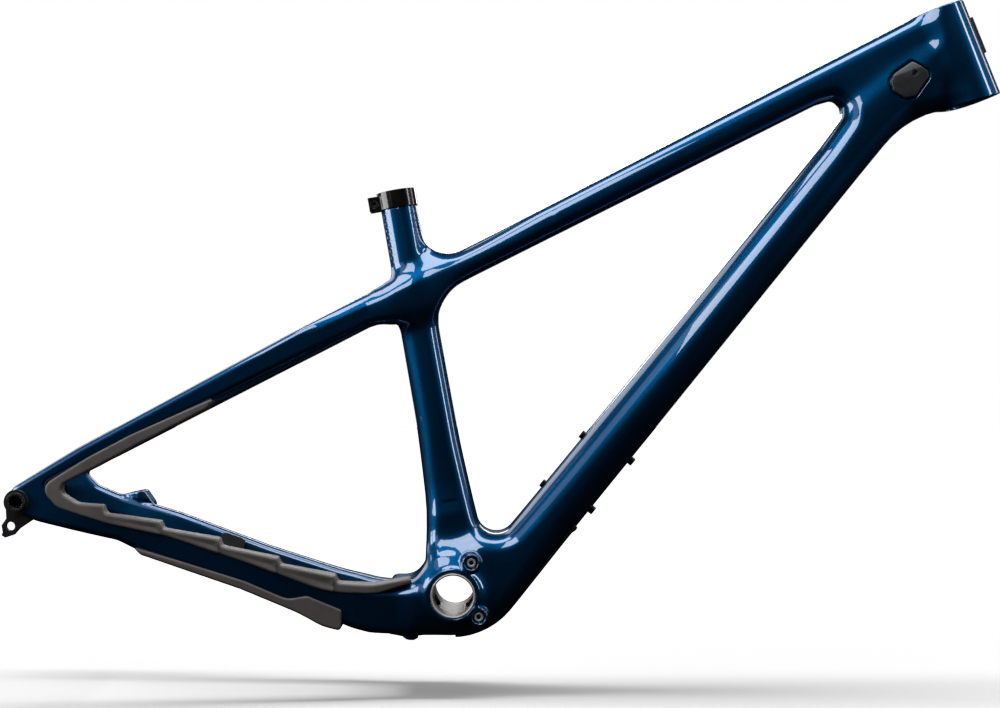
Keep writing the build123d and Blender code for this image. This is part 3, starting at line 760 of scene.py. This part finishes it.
LOWER_GUARD = [
    (-314, 30.5, 0),
    (-306.2, 23.4, 2),
    (-249, 6.8, 0),
    (-209.4, -4.6, 0),
    (-149.4, -25.9, 150),
    (-127, -37, 50),
    (-108, -40.5, 3),
    (-108.5, -20, 2),
    (-143, -8, 8),
    (-163, -12.5, 20),
    (-205, 3, 0),
    (-249, 14.3, 0),
]
BELLY_GUARD = [
    (117.5, 76, 0),
    (130, 62, 0),
    (80, -12, 0),
    (45, -60, 0),
    (5, -60, 0),
    (5, -38, 0),
    (28, -37, 20),
    (60, -8, 0),
    (110, 66, 0),
]
PROUD = 1.7
BELLY_PROUD = 2.3
BELLY_HALF = 23.0
GUARD_CELL = 1.3
GUARD_Y = (-95.0, -20.0)
GUARD_ROUND = 2.0
FIRST_TOOTH = -346.0
LAST_TOOTH = -118.0
TOOTH_PITCH = (LAST_TOOTH - FIRST_TOOTH) / 4
TOOTH_PROUD = 1.6

guard_grid = SideGrid((-425, -60), (-20, 195), 1.0)
stay_fields = grid.read([stay_out, stay_half], guard_grid.x, guard_grid.z)


def tooth_ridge(outline, x, z):
    """Ridge along the upper edge of the chainstay leg, rising to the front end of every tooth."""
    share = ((x - FIRST_TOOTH) / TOOTH_PITCH) % 1.0
    ridge = TOOTH_PROUD * share * ramp(outline, -8.0, -1.5)
    return np.where((z < 80.0) & (x > FIRST_TOOTH) & (x < LAST_TOOTH), ridge, 0.0)


def stay_guard(name, corners, nodes, ridged=0.0):
    """Rubber piece hugging the drive-side stays."""
    edge = guard_grid.outline(rounded_path(corners))

    def field(columns, x, y, z):
        outline, out, half = columns
        proud = PROUD + ridged * tooth_ridge(outline, x, z)
        return rounded_plate(outline, np.abs(-y - out) - half - proud, GUARD_ROUND)

    box = np.array(corners)[:, :2]
    low = (box[:, 0].min() - 5, GUARD_Y[0], box[:, 1].min() - 5)
    high = (box[:, 0].max() + 5, GUARD_Y[1], box[:, 1].max() + 5)
    made = field_object(name, guard_grid, [edge, *stay_fields], field, low, high, GUARD_CELL)
    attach(made, "frame")
    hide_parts(*nodes)
    return made


PROTECTOR_NODES = ["chainstay_protector", "seatstay_protector"]
protector = stay_guard("stay_protector", PROTECTOR, PROTECTOR_NODES, 1.0)
lower_guard = stay_guard("lower_guard", LOWER_GUARD, ["chainstay_lower_guard"])

belly_edge = grid.outline(rounded_path(BELLY_GUARD))


def belly_field(columns, x, y, z):
    body = shell_field(columns[:-1], x, y, z) - BELLY_PROUD
    trimmed = smooth_max(body, columns[-1], 1.0)
    return smooth_max(trimmed, np.abs(y) - BELLY_HALF, 2.0)


belly_guard = field_object(
    "belly_guard",
    grid,
    [*FIELDS, belly_edge],
    belly_field,
    (-5, -30, -62),
    (135, 30, 85),
    GUARD_CELL,
)
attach(belly_guard, "frame")
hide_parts("down_tube_guard")


# Port covers: a face split by a ridge, sloping away on either side
COVER_RIDGE = ((404, 549), (436, 562))
COVER_RISE = 2.2
COVER_FALL_ABOVE, COVER_FALL_BELOW = 0.30, -0.055
COVER_CELL = 0.7
cover_grid = SideGrid((395, 520), (450, 575), 0.5)
cover_edge = cover_grid.outline(rounded_path(PORT_OUTLINE, 20.0))
cover_fields = [cover_edge, *grid.read([half_width], cover_grid.x, cover_grid.z)]
(RIDGE_X, RIDGE_Z), (RIDGE_END_X, RIDGE_END_Z) = COVER_RIDGE
ridge_angle = math.atan2(RIDGE_END_Z - RIDGE_Z, RIDGE_END_X - RIDGE_X)
screw_low, screw_high = (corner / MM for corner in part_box("cable_port_screw_right"))
SCREW_PLACE = ((screw_low[0] + screw_high[0]) / 2, (screw_low[2] + screw_high[2]) / 2)
SCREW_R = 2.5


def port_cover(name, side, node):
    def field(columns, x, y, z):
        outline, half = columns
        off_ridge = (z - RIDGE_Z) * math.cos(ridge_angle) - (x - RIDGE_X) * math.sin(ridge_angle)
        fall = np.where(off_ridge > 0, COVER_FALL_ABOVE, COVER_FALL_BELOW) * off_ridge
        out = side * y
        top = out - half - COVER_RISE + fall
        solid = smooth_max(outline + 0.6, top, 1.0)
        solid = smooth_max(solid, half - PORT_DEPTH - out, 0.6)
        seat = np.hypot(x - SCREW_PLACE[0], z - SCREW_PLACE[1]) - SCREW_R - 0.5
        seat = np.maximum(seat, half - 0.5 - out)
        return smooth_max(solid, -seat, 0.6)

    y_low, y_high = sorted((side * 18.0, side * 36.0))
    made = field_object(
        name, cover_grid, cover_fields, field, (398, y_low, 524), (446, y_high, 572), COVER_CELL
    )
    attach(made, "frame")
    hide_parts(node)
    return made


covers = [
    port_cover("port_cover_right", -1, "cable_port_cover_right"),
    port_cover("port_cover_left", 1, "cable_port_cover_left"),
]


# Bottom bracket sleeve with a window low on either side
SLEEVE_BORE_R = mounts["bb_shell"]["dims"]["r_mm"]
SLEEVE_HALF = mounts["bb_shell"]["dims"]["length_mm"] / 2


def sleeve_field(columns, x, y, z):
    radial = np.hypot(x, z)
    tube = smooth_max(radial - BB_SLEEVE_R + 0.1, SLEEVE_BORE_R - radial, 0.5)
    tube = smooth_max(tube, np.abs(y) - SLEEVE_HALF, 0.8)
    return smooth_max(tube, -window_field(x, y, z, 30.0), 0.7)


sleeve = field_object(
    "bb_sleeve_liner", grid, [], sleeve_field, (-26, -50, -26), (26, 50, 26), 0.9
)
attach(sleeve, "frame")
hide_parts("bb_sleeve")


# --- Turned pieces ------------------------------------------------------------

ROUND = 0
HEX = 6


def turned(name, rings, centre, axis, sides=48):
    """Lathe piece from rings (radius, height, ROUND or HEX), closed at both ends."""
    axis = np.array(axis, float)
    across = np.cross(axis, (0.0, 0.0, 1.0))
    across /= np.linalg.norm(across)
    other = np.cross(axis, across)
    angle = 2 * np.pi * np.arange(sides) / sides
    vertices = []
    for radius, height, form in rings:
        reach = np.full(sides, float(radius))
        if form == HEX:
            turn = (angle + np.pi / 6) % (np.pi / 3) - np.pi / 6
            reach = radius * math.cos(math.pi / 6) / np.cos(turn)
        ring = reach[:, None] * (np.cos(angle)[:, None] * across + np.sin(angle)[:, None] * other)
        vertices.append(np.array(centre) + ring + height * axis)
    faces = []
    for r in range(len(rings) - 1):
        for i in range(sides):
            j = (i + 1) % sides
            faces.append((r * sides + i, r * sides + j, (r + 1) * sides + j, (r + 1) * sides + i))
    faces.append(tuple(reversed(range(sides))))
    last = (len(rings) - 1) * sides
    faces.append(tuple(range(last, last + sides)))
    mesh = bpy.data.meshes.new(name)
    points = np.concatenate(vertices) * MM
    mesh.from_pydata([tuple(p) for p in points], [], faces)
    made = bpy.data.objects.new(name, mesh)
    bpy.context.scene.collection.objects.link(made)
    return made


GUIDE_BOLT_RINGS = [
    (3.2, -6.0, ROUND),
    (4.3, -6.0, ROUND),
    (4.6, -5.7, ROUND),
    (4.6, -0.6, ROUND),
    (4.45, -0.2, ROUND),
    (4.0, 0.0, ROUND),
    (3.1, 0.0, ROUND),
    (2.75, -0.25, HEX),
    (2.6, -0.5, HEX),
    (2.6, -3.2, HEX),
    (2.0, -3.3, HEX),
]
guide_bolts = []
for n, (bx, bz) in enumerate(GUIDE_BOLTS):
    bolt = turned(f"guide_bolt_{n}", GUIDE_BOLT_RINGS, (bx, bolt_low[1], bz), (0, -1, 0))
    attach(bolt, "frame")
    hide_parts("chainguide_bolts")
    guide_bolts.append(bolt)


PORT_SCREW_RINGS = [
    (1.6, -3.0, ROUND),
    (2.2, -3.0, ROUND),
    (2.5, -2.7, ROUND),
    (2.5, -0.5, ROUND),
    (2.25, -0.1, ROUND),
    (1.9, 0.0, ROUND),
    (1.5, 0.0, ROUND),
    (1.3, -0.2, HEX),
    (1.25, -1.6, HEX),
    (0.9, -1.7, HEX),
]
SCREW_PROUD = 1.7
port_screws = []
screw_x, screw_z = np.array([SCREW_PLACE[0]]), np.array([SCREW_PLACE[1]])
screw_face = grid.read([half_width], screw_x, screw_z)[0][0] + SCREW_PROUD
for side, label in ((-1, "right"), (1, "left")):
    centre = (SCREW_PLACE[0], side * screw_face, SCREW_PLACE[1])
    screw = turned(f"port_screw_{label}", PORT_SCREW_RINGS, centre, (0, side, 0), 36)
    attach(screw, "frame")
    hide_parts(f"cable_port_screw_{label}")
    port_screws.append(screw)


# --- Materials ---------------------------------------------------------------


def new_material(name):
    made = bpy.data.materials.new(name)
    made.use_nodes = True
    tree = made.node_tree
    return made, tree.nodes, tree.links, tree.nodes["Principled BSDF"]


def noise(nodes, links, place, scale, detail=6.0, rough=0.6):
    made = nodes.new("ShaderNodeTexNoise")
    made.inputs["Scale"].default_value = scale
    made.inputs["Detail"].default_value = detail
    made.inputs["Roughness"].default_value = rough
    links.new(place.outputs["Object"], made.inputs["Vector"])
    return made


def map_range(nodes, links, source, low, high, from_low=0.3, from_high=0.7):
    made = nodes.new("ShaderNodeMapRange")
    made.inputs["From Min"].default_value = from_low
    made.inputs["From Max"].default_value = from_high
    made.inputs["To Min"].default_value = low
    made.inputs["To Max"].default_value = high
    links.new(source, made.inputs["Value"])
    return made.outputs["Result"]


def colour_ramp(nodes, links, source, *stops):
    made = nodes.new("ShaderNodeValToRGB")
    ramp_stops = made.color_ramp.elements
    while len(ramp_stops) < len(stops):
        ramp_stops.new(0.5)
    for stop, (at, colour) in zip(ramp_stops, stops):
        stop.position = at
        stop.color = (*colour, 1)
    links.new(source, made.inputs["Fac"])
    return made.outputs["Color"]


def add_bump(nodes, links, source, socket, distance, strength=1.0):
    made = nodes.new("ShaderNodeBump")
    made.inputs["Strength"].default_value = strength
    made.inputs["Distance"].default_value = distance
    links.new(source, made.inputs["Height"])
    links.new(made.outputs["Normal"], socket)
    return made


def paint():
    """Deep blue metallic basecoat under clear lacquer."""
    made, nodes, links, bsdf = new_material("metallic_blue_lacquer")
    bsdf.inputs["Metallic"].default_value = 1.0
    bsdf.inputs["Coat Weight"].default_value = 1.0
    bsdf.inputs["Coat Roughness"].default_value = 0.025
    bsdf.inputs["Coat IOR"].default_value = 1.85
    place = nodes.new("ShaderNodeTexCoord")
    flake = nodes.new("ShaderNodeTexVoronoi")
    flake.inputs["Scale"].default_value = 2200.0
    links.new(place.outputs["Object"], flake.inputs["Vector"])
    deep, bright = (0.0, 0.042, 0.130), (0.001, 0.094, 0.255)
    tint = colour_ramp(nodes, links, flake.outputs["Color"], (0.0, deep), (1.0, bright))
    links.new(tint, bsdf.inputs["Base Color"])
    cloud = noise(nodes, links, place, 9.0, 3.0)
    links.new(map_range(nodes, links, cloud.outputs["Fac"], 0.38, 0.43), bsdf.inputs["Roughness"])
    peel = noise(nodes, links, place, 130.0, 2.0)
    add_bump(nodes, links, peel.outputs["Fac"], bsdf.inputs["Coat Normal"], 0.0002, 0.02)
    return made


def worn(name, dark, light, rough, scale, grain, edge, metallic=0.0, coat=0.0):
    """Material with mottled colour, uneven gloss, fine grain and paler worn edges."""
    made, nodes, links, bsdf = new_material(name)
    bsdf.inputs["Metallic"].default_value = metallic
    bsdf.inputs["Coat Weight"].default_value = coat
    bsdf.inputs["Coat Roughness"].default_value = 0.1
    place = nodes.new("ShaderNodeTexCoord")
    mottle = noise(nodes, links, place, scale)
    fine = noise(nodes, links, place, scale * 14.0, 4.0)
    tint = colour_ramp(nodes, links, mottle.outputs["Fac"], (0.32, dark), (0.68, light))
    shape = nodes.new("ShaderNodeNewGeometry")
    eased = nodes.new("ShaderNodeBevel")
    eased.samples = 4
    eased.inputs["Radius"].default_value = 0.0005
    facing = nodes.new("ShaderNodeVectorMath")
    facing.operation = "DOT_PRODUCT"
    links.new(eased.outputs["Normal"], facing.inputs[0])
    links.new(shape.outputs["Normal"], facing.inputs[1])
    ridge = map_range(nodes, links, facing.outputs["Value"], 1.0, 0.0, 0.80, 0.99)
    rub = nodes.new("ShaderNodeMath")
    rub.operation = "MULTIPLY"
    links.new(ridge, rub.inputs[0])
    links.new(map_range(nodes, links, mottle.outputs["Fac"], 0.15, 0.9), rub.inputs[1])
    mix = nodes.new("ShaderNodeMix")
    mix.data_type = "RGBA"
    links.new(rub.outputs[0], mix.inputs["Factor"])
    links.new(tint, mix.inputs[6])
    mix.inputs[7].default_value = (*edge, 1)
    links.new(mix.outputs[2], bsdf.inputs["Base Color"])
    links.new(map_range(nodes, links, fine.outputs["Fac"], *rough), bsdf.inputs["Roughness"])
    grained = add_bump(nodes, links, fine.outputs["Fac"], bsdf.inputs["Normal"], grain)
    links.new(eased.outputs["Normal"], grained.inputs["Normal"])
    return made


PAINT = paint()
RUBBER = worn(
    "grey_rubber",
    dark=(0.096, 0.089, 0.085),
    light=(0.13, 0.12, 0.114),
    rough=(0.42, 0.6),
    scale=60.0, grain=0.0002,
    edge=(0.2, 0.19, 0.185),
)
GUARD_RUBBER = worn(
    "warm_grey_rubber",
    dark=(0.095, 0.085, 0.08),
    light=(0.125, 0.113, 0.106),
    rough=(0.42, 0.6),
    scale=60.0, grain=0.0002,
    edge=(0.2, 0.185, 0.175),
)
BLACK_RUBBER = worn(
    "black_rubber",
    dark=(0.012, 0.012, 0.014),
    light=(0.022, 0.022, 0.024),
    rough=(0.4, 0.6),
    scale=50.0, grain=0.0002,
    edge=(0.07, 0.07, 0.07),
)
COVER = worn(
    "moulded_black_plastic",
    dark=(0.024, 0.025, 0.027),
    light=(0.042, 0.043, 0.046),
    rough=(0.26, 0.38),
    scale=90.0, grain=0.0001,
    edge=(0.1, 0.1, 0.11),
)
BADGE = worn(
    "dark_badge_metal",
    dark=(0.12, 0.12, 0.125),
    light=(0.2, 0.2, 0.21),
    rough=(0.25, 0.4),
    scale=120.0, grain=0.00005,
    edge=(0.4, 0.4, 0.41),
    metallic=0.8,
)
CLAMP = worn(
    "black_anodised_alloy",
    dark=(0.006, 0.006, 0.007),
    light=(0.014, 0.014, 0.015),
    rough=(0.16, 0.24),
    scale=140.0, grain=0.00002,
    edge=(0.12, 0.12, 0.12),
    metallic=0.5, coat=1.0,
)
STEEL = worn(
    "blackened_steel",
    dark=(0.02, 0.02, 0.022),
    light=(0.05, 0.05, 0.052),
    rough=(0.28, 0.42),
    scale=160.0, grain=0.00004,
    edge=(0.2, 0.2, 0.2),
    metallic=0.85,
)
SMALL_BOLT = worn(
    "black_oxide_bolt",
    dark=(0.008, 0.008, 0.009),
    light=(0.02, 0.02, 0.022),
    rough=(0.25, 0.4),
    scale=220.0, grain=0.00004,
    edge=(0.14, 0.14, 0.14),
    metallic=0.7,
)
AXLE = worn(
    "black_axle_alloy",
    dark=(0.006, 0.006, 0.007),
    light=(0.016, 0.016, 0.017),
    rough=(0.16, 0.26),
    scale=140.0, grain=0.00004,
    edge=(0.16, 0.16, 0.16),
    metallic=0.6, coat=1.0,
)
HANGER = worn(
    "dark_hanger_alloy",
    dark=(0.03, 0.031, 0.034),
    light=(0.06, 0.062, 0.066),
    rough=(0.3, 0.45),
    scale=150.0, grain=0.00005,
    edge=(0.25, 0.25, 0.26),
    metallic=0.8,
)
SLEEVE = worn(
    "turned_aluminium",
    dark=(0.52, 0.51, 0.49),
    light=(0.66, 0.64, 0.62),
    rough=(0.32, 0.48),
    scale=90.0, grain=0.00006,
    edge=(0.7, 0.69, 0.67),
    metallic=0.3,
)
GUIDE_BOLT = worn(
    "bare_alloy_bolt",
    dark=(0.5, 0.5, 0.49),
    light=(0.64, 0.63, 0.62),
    rough=(0.25, 0.4),
    scale=200.0, grain=0.00003,
    edge=(0.75, 0.75, 0.75),
    metallic=0.35,
)

BY_SLOT = {
    "shell": PAINT,
    "plug": PAINT,
    "sleeve": SLEEVE,
    "badge": BADGE,
    "cover": COVER,
    "small_bolt": SMALL_BOLT,
    "clamp": CLAMP,
    "clamp_steel": STEEL,
    "axle": AXLE,
    "hanger": HANGER,
    "protector": RUBBER,
    "lower_guard": GUARD_RUBBER,
    "belly_guard": BLACK_RUBBER,
    "guide_bolt": GUIDE_BOLT,
}
for subpart in record["subparts"]:
    for place in frame["nodes"][subpart["node"]].material_slots:
        place.link = "OBJECT"
        place.material = BY_SLOT[subpart["material_slot"]]
shell.data.materials.append(PAINT)
sleeve.data.materials.append(SLEEVE)
protector.data.materials.append(RUBBER)
lower_guard.data.materials.append(GUARD_RUBBER)
belly_guard.data.materials.append(BLACK_RUBBER)
for bolt in guide_bolts:
    bolt.data.materials.append(GUIDE_BOLT)
for screw in port_screws:
    screw.data.materials.append(SMALL_BOLT)
for cover in covers:
    cover.data.materials.append(COVER)


# --- Stage, light and camera --------------------------------------------------

DARK_STRENGTH = 0.004
PALE_STRENGTH = 1.0
CAMERA_PLACE = (0.0300, -1.670, 0.2434)
CAMERA_ROLL = math.radians(4.0)
CAMERA_LENS = 58.83
FLOOR_DROP = 0.1026

camera = bpy.data.objects.new("camera", bpy.data.cameras.new("camera"))
bpy.context.scene.collection.objects.link(camera)
camera.data.lens = CAMERA_LENS
camera.data.sensor_width = 36.0
camera.data.clip_end = 50.0
right = Vector((math.cos(CAMERA_ROLL), 0, math.sin(CAMERA_ROLL)))
up = Vector((-math.sin(CAMERA_ROLL), 0, math.cos(CAMERA_ROLL)))
look_back = right.cross(up)
camera.matrix_world = Matrix.Translation(CAMERA_PLACE) @ Matrix(
    [(right[i], up[i], look_back[i], 0) for i in range(3)] + [(0, 0, 0, 1)]
)
bpy.context.scene.camera = camera

world = bpy.data.worlds.new("studio")
bpy.context.scene.world = world
world.use_nodes = True
nodes, links = world.node_tree.nodes, world.node_tree.links
# The camera sees a white surround, and the object is lit only by the softboxes
dark = nodes["Background"]
dark.inputs["Color"].default_value = (0.9, 0.95, 1.0, 1)
dark.inputs["Strength"].default_value = DARK_STRENGTH
pale = nodes.new("ShaderNodeBackground")
pale.inputs["Color"].default_value = (1, 1, 1, 1)
pale.inputs["Strength"].default_value = PALE_STRENGTH
rays = nodes.new("ShaderNodeLightPath")
pick = nodes.new("ShaderNodeMixShader")
links.new(rays.outputs["Is Camera Ray"], pick.inputs[0])
links.new(dark.outputs[0], pick.inputs[1])
links.new(pale.outputs[0], pick.inputs[2])
links.new(pick.outputs[0], nodes["World Output"].inputs[0])


def softbox(name, place, aim, width, height, power, along=None):
    """Area light whose width runs level, or along the given direction."""
    data = bpy.data.lights.new(name, "AREA")
    data.shape = "RECTANGLE"
    data.size, data.size_y = width, height
    data.energy = power
    made = bpy.data.objects.new(name, data)
    bpy.context.scene.collection.objects.link(made)
    made.location = place
    made.rotation_mode = "QUATERNION"
    turn = (Vector(aim) - Vector(place)).to_track_quat("-Z", "Y")
    if along is not None:
        flat = turn.inverted() @ Vector(along)
        turn = turn @ Quaternion((0, 0, 1), math.atan2(flat.y, flat.x))
    made.rotation_quaternion = turn
    return made


CENTRE = (cad_box[0] + cad_box[1]) / 2
side_lights = []
side_lights.append(softbox("overhead", (0.15, -0.18, 1.9), (0.15, 0, 0.3), 2.4, 0.75, 27))
side_lights.append(softbox("far_side", (0.15, 1.95, 1.05), CENTRE, 2.0, 0.5, 18))
for side, tail_power, nose_power in ((-1, 2, 6), (1, 8, 3)):
    tail_place, nose_place = (-1.2, side * 1.05, 1.0), (1.75, side * 0.55, 0.95)
    side_lights.append(softbox(f"tail_{side}", tail_place, CENTRE, 0.95, 1.5, tail_power))
    side_lights.append(softbox(f"nose_{side}", nose_place, CENTRE, 0.22, 1.3, nose_power))
side_lights.append(softbox("low_tail", (-1.6, -0.35, 0.42), (-0.1, 0, 0.3), 1.1, 0.9, 16))
DOWN_TUBE_RUN = (0.66, 0, 0.75)
near_tail = softbox(
    "near_tail", (-0.45, -1.07, 1.3), (0.35, 0, 0.4), 0.65, 1.0, 9, DOWN_TUBE_RUN
)
side_lights.append(near_tail)
floor_lights = [
    softbox("straight_above_the_floor", (-0.05, 0.05, 2.6), (-0.05, 0.05, 0.0), 2.6, 0.6, 40),
    softbox("fill_above_the_floor", (0.0, 0.0, 3.0), (0.0, 0.0, 0.0), 3.0, 3.0, 36),
]
floor_lights[1].data.use_shadow = False

# The floor only catches shadows, and has lights of its own
FLOOR_HALF = 6.0
floor_mesh = bpy.data.meshes.new("floor")
corners = [(FLOOR_HALF * i, FLOOR_HALF * j, 0) for i, j in ((-1, -1), (1, -1), (1, 1), (-1, 1))]
floor_mesh.from_pydata(corners, [], [(0, 1, 2, 3)])
floor = bpy.data.objects.new("floor", floor_mesh)
bpy.context.scene.collection.objects.link(floor)
floor.matrix_world = Matrix.Translation(up * -FLOOR_DROP) @ Matrix(
    [(right[i], (0, 1, 0)[i], up[i], 0) for i in range(3)] + [(0, 0, 0, 1)]
)
floor_paint, nodes, links, bsdf = new_material("pale_floor")
bsdf.inputs["Base Color"].default_value = (0.9, 0.9, 0.9, 1)
bsdf.inputs["Roughness"].default_value = 0.9
bsdf.inputs["Specular IOR Level"].default_value = 0.1
floor.data.materials.append(floor_paint)
floor.visible_glossy = False
floor.visible_diffuse = False
floor.is_shadow_catcher = True
unlit = bpy.data.collections.new("not_lit_from_the_sides")
unlit.objects.link(floor)
unlit.collection_objects[0].light_linking.link_state = "EXCLUDE"
for light in side_lights:
    light.light_linking.receiver_collection = unlit
floor_only = bpy.data.collections.new("floor_only")
floor_only.objects.link(floor)
for light in floor_lights:
    light.light_linking.receiver_collection = floor_only

bpy.context.scene.view_settings.view_transform = "Standard"
